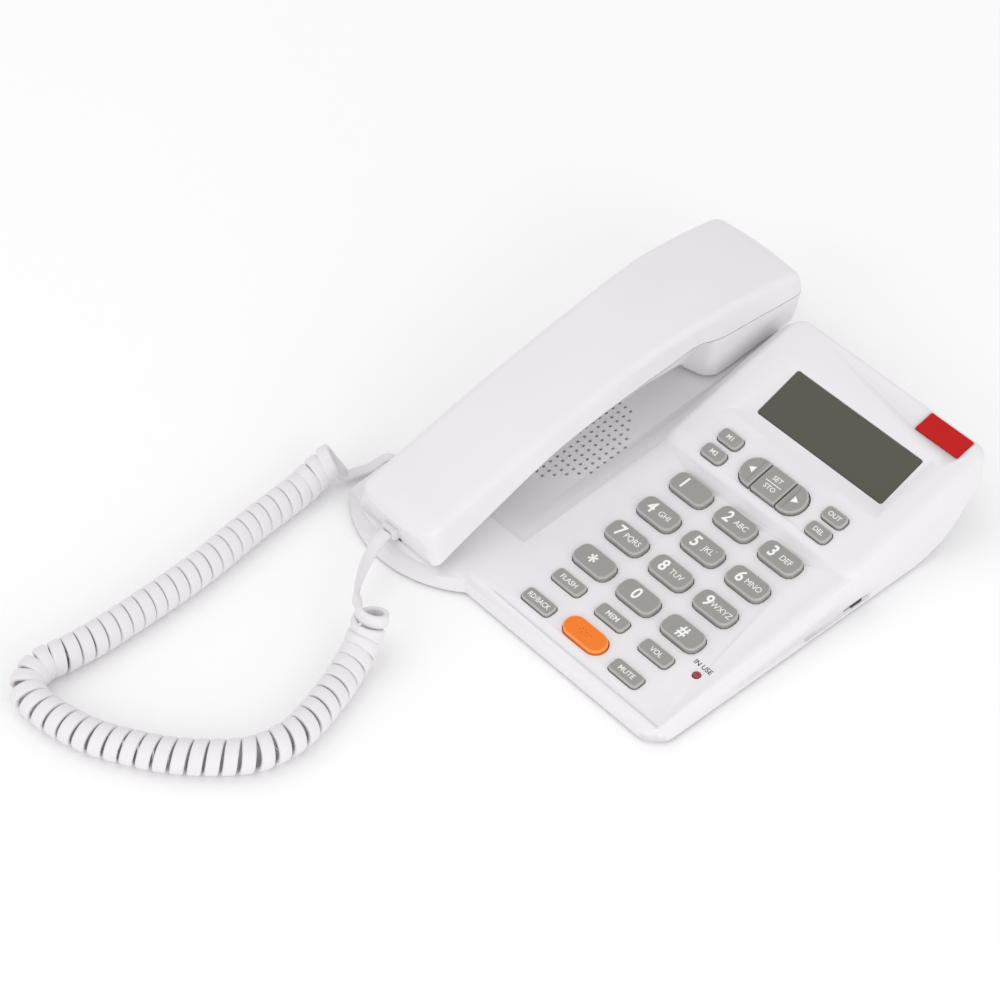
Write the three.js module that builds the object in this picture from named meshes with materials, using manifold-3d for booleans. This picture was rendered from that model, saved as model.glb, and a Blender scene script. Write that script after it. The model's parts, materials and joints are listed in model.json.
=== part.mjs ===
// Corded desk telephone: a flat base with a keypad and a tilted display console, a handset that
// lies in a channel on the left, and a curly cord between them.
// Millimetres. +X is the user's right, +Y the back of the phone, +Z up. The phone stands on z = 0.
import * as THREE from "three";
import { mergeVertices } from "three/addons/utils/BufferGeometryUtils.js";
import Module from "manifold-3d";

const wasm = await Module();
wasm.setup();

// ---------------------------------------------------------------- driving dimensions
const HALF_WIDTH = 85.5;
const FRONT_Y = -86.6;
const BACK_Y = 88.2;
const CORNER_R = 9; // front corners, in plan
const BACK_CORNER_R = 7;
const WALL = 2.2; // side walls
const CRUST = 2.0; // top skin, measured straight down
const GAP = 0.35; // between neighbouring pieces
const UNDERSIDE_Z = 1.2;
const PLATE = 1.6; // bottom plate

// The faceplate round the dial keys and the console behind it are two tilted planes.
const KEYPAD = { x: 35.75, y: -23.3, z: 14.55, tilt: 5 };
const CONSOLE = { x: 35.1, y: 15.0, z: 20.7, tilt: 13.3 };
const DISPLAY = { x: 34.9, y: 57.75, z: 28.7, tilt: 20.6 };

const CONSOLE_LEFT_X = -14.2; // left edge of the console's flat top
const CONSOLE_FRONT_Y = 12.9; // foot of the step between faceplate and console
const CRADLE_X = -51; // centre line of the handset and its channel
const CRADLE_DEPTH = 3;
const TONGUE = { x: -52.9, y: -47.0, r: 52.5 }; // round lip in front of the mouth end

const KEY_TRAVEL = 1.0;
const DIAL_COLUMNS = [-24.9, -0.9, 23.1];
const DIAL_ROWS = [26.3, 9.15, -7.55, -24.25];
const DIAL_KEY = { w: 18.6, h: 9.9, r: 3.6, top: 2.45 };
const FUNCTION_KEY = { w: 15.0, h: 6.5, r: 1.9, top: 1.5 };
const MEMORY_KEY = { w: 10.9, h: 6.4, r: 2.2, top: 1.8 };
const SPEAKER_KEY = { w: 20.7, h: 9.5, r: 4.7, top: 1.9 };
const NAV = { x: -1.2, y: 9.3, w: 32.2, h: 13.6, block: 12.7, slit: 0.7, top: 2.1 };

const WINDOW = { w: 66.4, h: 23.4 };
const LABEL = { x: 31.5, y: 68.7, w: 21.6, h: 9.5 };
const SCREWS = [[80, -74], [-72, -74], [78, 42], [-76, 42]];
const FEET = [[60, -74], [-58, -74], [62, 34], [-62, 34]];
const BATTERY = { x0: 3, x1: 51, y0: 12.5, y1: 44.5, z1: 13.3 };
const DOOR = { x0: 2, x1: 52, y0: 11.5, y1: 46.5 };

const SPEAKER = { x: -46, y: -6.4, r: 19.5 };
const HOOK = { x: CRADLE_X, y: 58 };
const LINE_JACK = { x: 20, z: 28.6 };
const BASE_JACK = { y: -65, z: 6.2 };
const HANDSET_JACK = { x: -52.5, z: 14.5 };
const PLUG = { w: 7.6, h: 5.6, l: 11 };

const CORD_WIDTH = 5.2;
const COIL_R = 6.8;

const PLASTIC = { color: 0xeeebee, roughness: 0.42, metalness: 0 };
const KEY_GREY = { color: 0x9e9d98, roughness: 0.55, metalness: 0 };
const MATERIALS = {
  case_white: PLASTIC,
  handset_white: PLASTIC,
  key_grey: KEY_GREY,
  key_orange: { color: 0xfc8e3a, roughness: 0.5, metalness: 0 },
  window_smoke: { color: 0x5c584c, roughness: 0.15, metalness: 0 },
  display_glass: { color: 0x8a8c76, roughness: 0.3, metalness: 0 },
  label_red: { color: 0xc4211b, roughness: 0.4, metalness: 0 },
  lens_red: { color: 0xb01818, roughness: 0.2, metalness: 0 },
  board_green: { color: 0x2f6b45, roughness: 0.6, metalness: 0 },
  mat_grey: { color: 0xb9b8b4, roughness: 0.7, metalness: 0 },
  socket_black: { color: 0x2b2b2d, roughness: 0.5, metalness: 0 },
  plug_clear: { color: 0xdfe3e6, roughness: 0.15, metalness: 0 },
  cord_white: { color: 0xece9ea, roughness: 0.45, metalness: 0 },
  foot_rubber: { color: 0x4a4a4c, roughness: 0.85, metalness: 0 },
  screw_steel: { color: 0x9a9ea3, roughness: 0.35, metalness: 1 },
  capsule_dark: { color: 0x3a3b3e, roughness: 0.6, metalness: 0 },
};

// ---------------------------------------------------------------- geometry helpers
const rad = THREE.MathUtils.degToRad;
const P2 = (x, y) => new THREE.Vector2(x, y);
const P3 = (x, y, z) => new THREE.Vector3(x, y, z);

function frameMatrix({ x, y, z, tilt }) {
  const turn = new THREE.Matrix4().makeRotationX(rad(tilt));
  return new THREE.Matrix4().makeTranslation(x, y, z).multiply(turn);
}

const IN_KEYPAD = frameMatrix(KEYPAD);
const IN_CONSOLE = frameMatrix(CONSOLE);
const IN_DISPLAY = frameMatrix(DISPLAY);
const ALONG_X = new THREE.Matrix4().makeBasis(P3(0, 1, 0), P3(0, 0, 1), P3(1, 0, 0));
const ALONG_Y = new THREE.Matrix4().makeBasis(P3(1, 0, 0), P3(0, 0, 1), P3(0, -1, 0));

function solid(geometry, matrix) {
  const bare = geometry.clone();
  bare.deleteAttribute("normal");
  bare.deleteAttribute("uv");
  if (matrix) bare.applyMatrix4(matrix);
  const merged = mergeVertices(bare, 1e-3);
  return new wasm.Manifold(
    new wasm.Mesh({
      numProp: 3,
      vertProperties: new Float32Array(merged.attributes.position.array),
      triVerts: new Uint32Array(merged.index.array),
    }),
  );
}

function geometryOf(manifold) {
  const mesh = manifold.getMesh();
  const geometry = new THREE.BufferGeometry();
  geometry.setAttribute("position", new THREE.BufferAttribute(mesh.vertProperties, 3));
  geometry.setIndex(new THREE.BufferAttribute(mesh.triVerts, 1));
  const flat = geometry.toNonIndexed();
  flat.computeVertexNormals();
  return flat;
}

// A straight prism over an outline, between two heights.
function prism(points, from, to) {
  const settings = { depth: to - from, bevelEnabled: false };
  return new THREE.ExtrudeGeometry(new THREE.Shape(points), settings).translate(0, 0, from);
}

// A side profile, given as [y, z] pairs, run along X.
function alongX(pairs, from, to) {
  return solid(prism(pairs.map(([y, z]) => P2(y, z)), from, to), ALONG_X);
}

function box(x0, x1, y0, y1, z0, z1) {
  const geometry = new THREE.BoxGeometry(x1 - x0, y1 - y0, z1 - z0);
  return geometry.translate((x0 + x1) / 2, (y0 + y1) / 2, (z0 + z1) / 2);
}

function disc(x, y, r, z0, z1, sides = 24) {
  const geometry = new THREE.CylinderGeometry(r, r, z1 - z0, sides).rotateX(Math.PI / 2);
  return geometry.translate(x, y, (z0 + z1) / 2);
}

// Points of a rectangle with round corners, anticlockwise; radii may differ left and right.
function roundedOutline(w, h, r, steps = 3, leftR = r) {
  const corners = [
    [w / 2 - r, -h / 2 + r, r, -90],
    [w / 2 - r, h / 2 - r, r, 0],
    [-w / 2 + leftR, h / 2 - leftR, leftR, 90],
    [-w / 2 + leftR, -h / 2 + leftR, leftR, 180],
  ];
  return corners.flatMap(([cx, cy, radius, start]) =>
    Array.from({ length: steps + 1 }, (_, i) => {
      const a = rad(start + (90 * i) / steps);
      return P2(cx + radius * Math.cos(a), cy + radius * Math.sin(a));
    }),
  );
}

// A closed skin through rings of equal count, capped with a fan at each end.
function loft(rings) {
  const n = rings[0].length;
  const points = rings.flat();
  const centre = (ring) => ring.reduce((s, p) => s.add(p), P3(0, 0, 0)).divideScalar(n);
  points.push(centre(rings[0]), centre(rings.at(-1)));
  const [first, last] = [points.length - 2, points.length - 1];
  const faces = [];
  for (let k = 0; k < rings.length - 1; k += 1)
    for (let i = 0; i < n; i += 1) {
      const [a, b] = [k * n + i, k * n + ((i + 1) % n)];
      faces.push(a, b, b + n, a, b + n, a + n);
    }
  const end = (rings.length - 1) * n;
  for (let i = 0; i < n; i += 1) {
    const j = (i + 1) % n;
    faces.push(j, i, first, end + i, end + j, last);
  }
  const volume = faces.reduce((sum, _, k) => {
    if (k % 3) return sum;
    const [a, b, c] = [points[faces[k]], points[faces[k + 1]], points[faces[k + 2]]];
    return sum + a.dot(b.clone().cross(c));
  }, 0);
  if (volume < 0)
    for (let k = 0; k < faces.length; k += 3)
      [faces[k + 1], faces[k + 2]] = [faces[k + 2], faces[k + 1]];
  const geometry = new THREE.BufferGeometry().setFromPoints(points);
  geometry.setIndex(faces);
  return geometry;
}

// A thin plate with round corners, lying in a panel's plane.
function panelPlate(w, h, r, z0, z1, x = 0, y = 0) {
  return prism(roundedOutline(w, h, r, 1), z0, z1).translate(x, y, 0);
}

const ringAt = (outline, z) => outline.map((p) => P3(p.x, p.y, z));

// ---------------------------------------------------------------- scene graph
const phone = new THREE.Group();
const keypadGroup = new THREE.Group();
const consoleGroup = new THREE.Group();
const displayGroup = new THREE.Group();
const handset = new THREE.Group();
for (const [group, frame] of [
  [keypadGroup, KEYPAD],
  [consoleGroup, CONSOLE],
  [displayGroup, DISPLAY],
]) {
  group.position.set(frame.x, frame.y, frame.z);
  group.rotation.x = rad(frame.tilt);
}
phone.add(keypadGroup, consoleGroup, displayGroup, handset);

function add(name, geometry, material, parent = phone) {
  const mesh = new THREE.Mesh(geometry, new THREE.MeshStandardMaterial(MATERIALS[material]));
  mesh.name = name;
  parent.add(mesh);
  return mesh;
}

// ---------------------------------------------------------------- keys
// Each cap passes through the faceplate and ends in a flange that keeps it from falling out.
const FLANGE_W = -CRUST - 1.2;
const FLANGE_T = 0.75;
const keyCuts = { keypad: [], console: [] };

function keyGeometry(outlineOf, top, lip) {
  const shoulder = FLANGE_W + FLANGE_T;
  const rings = [ringAt(outlineOf(2 * lip), FLANGE_W), ringAt(outlineOf(2 * lip), shoulder)];
  if (lip > 0) rings.push(ringAt(outlineOf(0), shoulder));
  rings.push(ringAt(outlineOf(-0.3), top - 0.6), ringAt(outlineOf(-1.3), top));
  return loft(rings);
}

function addKey(name, panel, x, y, outlineOf, top, material = "key_grey", lip = 0.8) {
  const parent = panel === "keypad" ? keypadGroup : consoleGroup;
  const mesh = add(name, keyGeometry(outlineOf, top, lip), material, parent);
  mesh.position.set(x, y, 0);
  const hole = prism(outlineOf(2 * GAP), -6, 6);
  const room = prism(outlineOf(2 * lip + 2 * GAP), -6, -CRUST);
  keyCuts[panel].push(hole.translate(x, y, 0), room.translate(x, y, 0));
}

const keyOutline = (k) => (grow) =>
  roundedOutline(k.w + grow, k.h + grow, k.r + grow / 2, k.r > 4 ? 5 : 3);

const DIAL_NAMES = [
  ["key_1", "key_2", "key_3"],
  ["key_4", "key_5", "key_6"],
  ["key_7", "key_8", "key_9"],
  ["key_star", "key_0", "key_hash"],
];
DIAL_NAMES.forEach((row, r) =>
  row.forEach((name, c) => {
    addKey(name, "keypad", DIAL_COLUMNS[c], DIAL_ROWS[r], keyOutline(DIAL_KEY), DIAL_KEY.top);
  }),
);
for (const [name, x, y] of [
  ["key_flash", -24.9, -37.45],
  ["key_memory", -1.1, -37.45],
  ["key_volume", 22.6, -37.5],
  ["key_redial_back", -26.0, -51.75],
  ["key_mute", 21.6, -51.65],
])
  addKey(name, "keypad", x, y, keyOutline(FUNCTION_KEY), FUNCTION_KEY.top);
const speakerOutline = keyOutline(SPEAKER_KEY);
addKey("key_speaker", "keypad", -2.05, -50.2, speakerOutline, SPEAKER_KEY.top, "key_orange");

for (const [name, x, y] of [
  ["key_m1", -29.4, 13.95],
  ["key_m2", -29.5, 4.95],
  ["key_out", 26.55, 14.0],
  ["key_delete", 26.5, 5.25],
])
  addKey(name, "console", x, y, keyOutline(MEMORY_KEY), MEMORY_KEY.top);

// The pill of three: a square block between two D-shaped ends, which share one hole.
const navEnd = (NAV.w - NAV.block) / 2 - NAV.slit;
const navShift = (NAV.block + NAV.slit * 2 + navEnd) / 2;
const roundLeft = (grow) => roundedOutline(navEnd + grow, NAV.h + grow, 0.6, 5, NAV.h / 2 - 0.2);
const roundRight = (grow) =>
  roundLeft(grow).map((p) => P2(-p.x, p.y)).reverse();
const square = (grow) => roundedOutline(NAV.block + grow, NAV.h + grow, 0.6, 1);
for (const [name, x, outline] of [
  ["key_left", -navShift, roundLeft],
  ["key_set", 0, square],
  ["key_right", navShift, roundRight],
])
  addKey(name, "console", NAV.x + x, NAV.y, outline, NAV.top, "key_grey", 0);

// ---------------------------------------------------------------- base: outer form
// Plan of the base, drawn in by a margin; the tongue closes the front of the handset channel.
function planOutline(margin) {
  const [x1, y0, y1] = [HALF_WIDTH - margin, FRONT_Y + margin, BACK_Y - margin];
  const r = CORNER_R - margin;
  const backR = BACK_CORNER_R - margin;
  const tongueR = TONGUE.r - margin;
  const points = [];
  const arc = (cx, cy, radius, from, to, steps) => {
    for (let i = 0; i <= steps; i += 1) {
      const a = rad(from + ((to - from) * i) / steps);
      points.push(P2(cx + radius * Math.cos(a), cy + radius * Math.sin(a)));
    }
  };
  arc(x1 - r, y0 + r, r, -90, 0, 7);
  arc(x1 - backR, y1 - backR, backR, 0, 90, 6);
  arc(-x1 + backR, y1 - backR, backR, 90, 180, 6);
  const reach = (dy) => (Math.acos(dy / tongueR) * 180) / Math.PI;
  const right = reach(TONGUE.y - y0);
  const left = Math.min(right, (Math.asin((x1 + TONGUE.x) / tongueR) * 180) / Math.PI);
  arc(TONGUE.x, TONGUE.y, tongueR, 270 - left, 270 + right, 22);
  return points;
}

// Where the tongue's curve runs into the straight front edge.
const TONGUE_RIGHT_X = TONGUE.x + Math.sqrt(TONGUE.r ** 2 - (TONGUE.y - FRONT_Y) ** 2) - 0.5;

const plan = (margin) => solid(prism(planOutline(margin), -20, 70));
const keypadZ = (y) => KEYPAD.z + (y - KEYPAD.y) * Math.tan(rad(KEYPAD.tilt));
const consoleZ = (y) => CONSOLE.z + (y - CONSOLE.y) * Math.tan(rad(CONSOLE.tilt));

// A cross-section given in a tilted frame as [across, up] pairs, run along the slope.
function alongSlope(pairs, matrix, from, to) {
  const profile = prism(pairs.map(([u, w]) => P2(u, w)), -to, -from).applyMatrix4(ALONG_Y);
  return solid(profile, matrix);
}

const topForm = (() => {
  const right = HALF_WIDTH - KEYPAD.x;
  const left = -HALF_WIDTH - KEYPAD.x;
  const slab = alongSlope(
    [[left, -60], [right, -60], [right, -4], [right - 0.5, -2], [right - 1.8, -0.6],
      [right - 3.8, 0], [left + 2, 0], [left, -2]],
    IN_KEYPAD, -90, 125,
  );
  const across = (x) => x - KEYPAD.x;
  const trough = alongSlope(
    [[across(-81.5), 0], [across(-78), -CRADLE_DEPTH], [across(-26), -CRADLE_DEPTH],
      [across(-21), -1.4], [across(-16.4), -0.35], [across(-16), 0], [across(-16), 40],
      [across(-81.5), 40]],
    IN_KEYPAD, -60, 125,
  );
  const ramp = alongX(
    [[-60, keypadZ(-60) + 0.02], [-49, keypadZ(-49) - CRADLE_DEPTH - 0.3], [130, 0], [130, 70],
      [-60, 70]],
    -90, 90,
  );
  const channel = trough.intersect(ramp);
  // The console's block, as plan outlines going up: depth under the top plane, then how far the
  // left, right, front and back edges stand in from their widest, and the corner radius.
  const blockRings = [
    [60, -11.9, 0, 0, 0, 6],
    [19, -11.9, 0, 0, 0, 6],
    [11.5, -10.0, 0, 0, 0, 6],
    [5.9, -7.2, 0, 0, 0, 6],
    [2.6, -3.7, 0.6, 0.2, 0, 5.5],
    [1.4, -2.7, 1.5, 0.6, 0.1, 5],
    [0.7, -1.9, 2.4, 1.2, 0.4, 5],
    [0.25, -1.1, 3.5, 2.0, 1.0, 5],
    [0, 0, 4.8, 3.1, 1.8, 5],
  ].map(([depth, inLeft, inRight, inFront, inBack, r]) => {
    const [x0, x1] = [CONSOLE_LEFT_X + inLeft, HALF_WIDTH - inRight];
    const [y0, y1] = [CONSOLE_FRONT_Y + inFront, BACK_Y - inBack];
    return roundedOutline(x1 - x0, y1 - y0, r, 5).map((p) => {
      const y = p.y + (y0 + y1) / 2;
      return P3(p.x + (x0 + x1) / 2, y, consoleZ(y) - depth);
    });
  });
  const block = solid(loft(blockRings));
  const frontRoll = alongX(
    [[-82.9, keypadZ(-82.9)], [-85.0, 8.4], [-86.2, 6.9], [-86.7, 5.2], [-90, 5.2], [-90, 20],
      [-82.9, 20]],
    TONGUE_RIGHT_X, HALF_WIDTH + 1,
  );
  const tongueRoll = alongX(
    [[-88.5, keypadZ(-88.5)], [-93.8, 7.7], [-97.3, 5.9], [-99.5, 3.4], [-102, 3.4], [-102, 20],
      [-88.5, 20]],
    -HALF_WIDTH - 1, TONGUE_RIGHT_X,
  );
  return slab.subtract(channel).add(block).subtract(frontRoll).subtract(tongueRoll);
})();

// The case is cut away below: flat to y = 50, then curving up to the back. Behind the handset
// channel the case is shallower than behind the console.
const STERN = [[50, UNDERSIDE_Z], [57, 2.4], [64, 5.2], [70, 9.6], [74.4, 14.4]];
const STERN_CONSOLE = [[78.2, 20.0], [79.6, 21.4], [86.2, 21.6], [87.8, 22.8], [96, 22.8], [96, -30]];
const STERN_CRADLE = [[86.8, 15.0], [88.3, 16.4], [96, 16.4], [96, -30]];
const FRONT_BELOW = [[-110, -30], [-110, UNDERSIDE_Z]];
const ZONE_X = -19;
const below = alongX([...FRONT_BELOW, ...STERN, ...STERN_CONSOLE].reverse(), ZONE_X, 90)
  .add(alongX([...FRONT_BELOW, ...STERN, ...STERN_CRADLE].reverse(), -90, ZONE_X));

// ---------------------------------------------------------------- top case
function displayWell() {
  const [w, h] = [WINDOW.w / 2 + 0.7, WINDOW.h / 2 + 0.7];
  const floor = [P3(-w, -h, 0), P3(w, -h, 0), P3(w, h, 0), P3(-w, h, 0)].map((p) =>
    p.applyMatrix4(IN_DISPLAY),
  );
  const rim = [[-6.2, 38.6], [73.6, 38.6], [71.6, 72.2], [-1.4, 72.2]];
  const atRim = rim.map(([x, y]) => P3(x, y, consoleZ(y) + 0.02));
  const above = rim.map(([x, y]) => P3(x, y, consoleZ(y) + 8));
  return solid(loft([floor, atRim, above]));
}

const topCase = (() => {
  const inner = topForm.translate([0, 0, -CRUST]).intersect(plan(WALL));
  let shell = topForm.intersect(plan(0)).subtract(below).subtract(inner);
  const frame = solid(panelPlate(82, 35.5, 2, -3.1, 6, 0, -2.25), IN_DISPLAY);
  shell = shell.add(frame.intersect(topForm));
  for (const [x, y] of SCREWS) {
    const skin = y < 0 ? keypadZ(y) : x > 0 ? consoleZ(y) : keypadZ(y) - CRADLE_DEPTH;
    shell = shell.add(solid(disc(x, y, 2.5, UNDERSIDE_Z + PLATE + 0.3, skin - CRUST / 2, 12)));
  }
  const cuts = [
    displayWell(),
    solid(prism(roundedOutline(WINDOW.w + 0.7, WINDOW.h + 0.7, 0.8, 1), -1.7, 1), IN_DISPLAY),
    solid(prism(roundedOutline(61, 19, 1, 1), -5, 0), IN_DISPLAY),
    ...keyCuts.keypad.map((g) => solid(g, IN_KEYPAD)),
    ...keyCuts.console.map((g) => solid(g, IN_CONSOLE)),
    ...SCREWS.map(([x, y]) => solid(disc(x, y, 1.35, 0, 7.6, 10))),
    solid(disc(39.85, -33.6, 1.85, -6, 3, 12), IN_KEYPAD),
    solid(panelPlate(LABEL.w + 0.6, LABEL.h + 0.6, 0.5, -0.5, 3, LABEL.x, LABEL.y), IN_CONSOLE),
    solid(box(HOOK.x - 4.35, HOOK.x + 4.35, HOOK.y - 2.85, HOOK.y + 2.85, 12, 24)),
    solid(box(LINE_JACK.x - 6.1, LINE_JACK.x + 6.1, 80, 92, LINE_JACK.z - 4, LINE_JACK.z + 4)),
    solid(box(-90, -70.9, BASE_JACK.y - 4.4, BASE_JACK.y + 4.4, BASE_JACK.z - 3.4, BASE_JACK.z + 3.4)),
    solid(box(84.7, 90, -10, 25, 2.3, 5.4)),
    solid(box(80, 90, 11.5, 24.5, 2.7, 5.0)),
    solid(panelPlate(97.5, 0.5, 0.2, -0.45, 2, 7, -59.8), IN_KEYPAD),
  ];
  return cuts.reduce((whole, cut) => whole.subtract(cut), shell);
})();
add("top_case", geometryOf(topCase), "case_white");

// ---------------------------------------------------------------- bottom case
const bottomCase = (() => {
  const z1 = UNDERSIDE_Z + PLATE;
  const rise = [[46.5, UNDERSIDE_Z], [46.5, 3.4], [59, 3.9], [65, 6.8], [70, 10.8]];
  const back = [[68.6, 12.0], [63.9, 8.3], [58.4, 5.6], [44.9, 5.0], [44.9, z1], [-110, z1]];
  const front = [[-110, UNDERSIDE_Z]];
  const consoleSide = [...front, ...rise, [74.2, 15.6], [77.6, 20.4], [79.0, 22.2], [85.6, 22.6],
    [85.6, 24.2], [78.0, 23.8], [76.0, 21.2], [72.8, 16.6], ...back];
  const cradleSide = [...front, ...rise, [73.2, 14.9], [85.6, 15.4], [85.6, 16.9], [72.2, 16.5], ...back];
  const closing = [[72.8, 16.6], [73.2, 14.9], [85.6, 15.4], [85.6, 24.2], [78.0, 23.8], [76.0, 21.2]];
  const form = alongX(consoleSide, ZONE_X, 90)
    .add(alongX(cradleSide, -90, ZONE_X + 0.1))
    .add(alongX(closing, ZONE_X, ZONE_X + 1.6));
  const b = BATTERY;
  let plate = form.intersect(plan(WALL + GAP));
  plate = plate.add(solid(box(b.x0 - 1.6, b.x1 + 1.6, b.y0 - 1.6, b.y1 + 1.6, z1 - 0.5, b.z1 + 1.1)));
  const cuts = [
    solid(box(DOOR.x0, DOOR.x1, DOOR.y0, DOOR.y1 + 1, 0, z1 + 0.1)),
    solid(box(b.x0, b.x1, b.y0, b.y1, 0, b.z1)),
    solid(box(LINE_JACK.x - 6.1, LINE_JACK.x + 6.1, 70, 92, LINE_JACK.z - 4, 40)),
    ...SCREWS.map(([x, y]) => solid(disc(x, y, 1.6, 0, 5, 10))),
    ...SCREWS.map(([x, y]) => solid(disc(x, y, 3.1, 0, 1.9, 14))),
    ...FEET.map(([x, y]) => solid(disc(x, y, 6.3, 0, 1.75, 20))),
  ];
  return cuts.reduce((whole, cut) => whole.subtract(cut), plate);
})();
add("bottom_case", geometryOf(bottomCase), "case_white");

const door = box(DOOR.x0 + GAP, DOOR.x1 - GAP, DOOR.y0 + GAP, DOOR.y1 - 0.2, UNDERSIDE_Z, 2.55);
add("battery_door", door, "case_white");

// ---------------------------------------------------------------- pieces on and in the base

const MAT_TOP = FLANGE_W - KEY_TRAVEL - 0.15;
const MAT_BOTTOM = MAT_TOP - 0.55;
const BOARD_TOP = MAT_BOTTOM - 0.3;
const BOARD_BOTTOM = BOARD_TOP - 1.1;
for (const [board, mat, group, w, h, x, y] of [
  ["keypad_board", "keypad_mat", keypadGroup, 78.5, 88.3, 2.0, -12.85],
  ["display_board", "console_mat", consoleGroup, 74, 21.2, 0, 11.8],
]) {
  add(board, panelPlate(w, h, 1, BOARD_BOTTOM, BOARD_TOP, x, y), "board_green", group);
  add(mat, panelPlate(w - 4, h - 1.2, 2, MAT_BOTTOM, MAT_TOP, x - 0.6, y), "mat_grey", group);
}
const label = panelPlate(LABEL.w, LABEL.h, 0.3, -0.2, 0.45, LABEL.x, LABEL.y);
add("label_plate", label, "label_red", consoleGroup);
add("lcd_window", panelPlate(WINDOW.w, WINDOW.h, 0.5, -1.4, -0.1), "window_smoke", displayGroup);
add("lcd_module", panelPlate(66, 25.4, 1, -6.4, -3.45), "display_glass", displayGroup);

const lampProfile = [P2(0, -4.0), P2(1.5, -4.0), P2(1.5, 0.2), P2(1.1, 0.75), P2(0, 0.95)];
const lamp = new THREE.LatheGeometry(lampProfile, 14).rotateX(Math.PI / 2);
add("in_use_led", lamp, "lens_red", keypadGroup).position.set(39.85, -33.6, 0);

const speakerV = (SPEAKER.y - KEYPAD.y) / Math.cos(rad(KEYPAD.tilt));
const cone = [[0, -10.6], [9, -10.6], [9, -8.2], [SPEAKER.r, -6.8], [SPEAKER.r, -5.4], [0, -5.4]];
const loudspeaker = new THREE.LatheGeometry(cone.map(([r, z]) => P2(r, z)), 28).rotateX(Math.PI / 2);
add("loudspeaker", loudspeaker, "capsule_dark", keypadGroup)
  .position.set(SPEAKER.x - KEYPAD.x, speakerV, 0);

// The hook plunger stands down under the handset and rises as the handset is lifted.
const plunger = loft([
  ringAt(roundedOutline(11, 8, 1, 1), 8),
  ringAt(roundedOutline(11, 8, 1, 1), 10),
  ringAt(roundedOutline(8, 5, 1, 1), 10),
  ringAt(roundedOutline(8, 5, 1, 1), 17.6),
  ringAt(roundedOutline(6.6, 3.6, 0.6, 1), 18.35),
]);
add("hook_plunger", plunger.translate(HOOK.x, HOOK.y, 0), "case_white");

const knob = solid(box(81.2, 85.3, 15.2, 20.8, 3.15, 4.65))
  .add(solid(box(81.2, 82.8, 12.2, 23.8, 3.15, 6.4)));
add("ringer_switch", geometryOf(knob), "socket_black");

// A modular socket: a block with a plug-sized pocket, open to +Y before it is turned.
function socket(w, h, l, pocketW, pocketH, pocketL) {
  const block = solid(box(-w / 2, w / 2, -l, 0, -h / 2, h / 2));
  const pocket = solid(box(-pocketW / 2, pocketW / 2, -pocketL, 1, -pocketH / 2, pocketH / 2));
  return geometryOf(block.subtract(pocket));
}
add("line_jack", socket(11.6, 7.4, 11.8, 9.8, 6.2, 9.8), "socket_black")
  .position.set(LINE_JACK.x, BACK_Y - 0.3, LINE_JACK.z);
const baseJack = add("base_jack", socket(7.6 + 0.6, 6.2, 14, 7.6 + 0.1, 5.7, 11.5), "socket_black");
baseJack.position.set(-HALF_WIDTH + 0.3, BASE_JACK.y, BASE_JACK.z);
baseJack.rotation.z = Math.PI / 2;

FEET.forEach(([x, y], i) => {
  const foot = new THREE.CylinderGeometry(6, 5.7, 1.4, 20).rotateX(Math.PI / 2);
  add(`foot_${i + 1}`, foot.translate(x, y, 0.7), "foot_rubber");
});
SCREWS.forEach(([x, y], i) => {
  const profile = [P2(0, 0.75), P2(2.7, 0.75), P2(2.7, 1.55), P2(1.0, 1.6), P2(1.0, 7.2), P2(0, 7.2)];
  const screw = new THREE.LatheGeometry(profile, 12).rotateX(Math.PI / 2);
  add(`case_screw_${i + 1}`, screw.translate(x, y, 0), "screw_steel");
});

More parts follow.
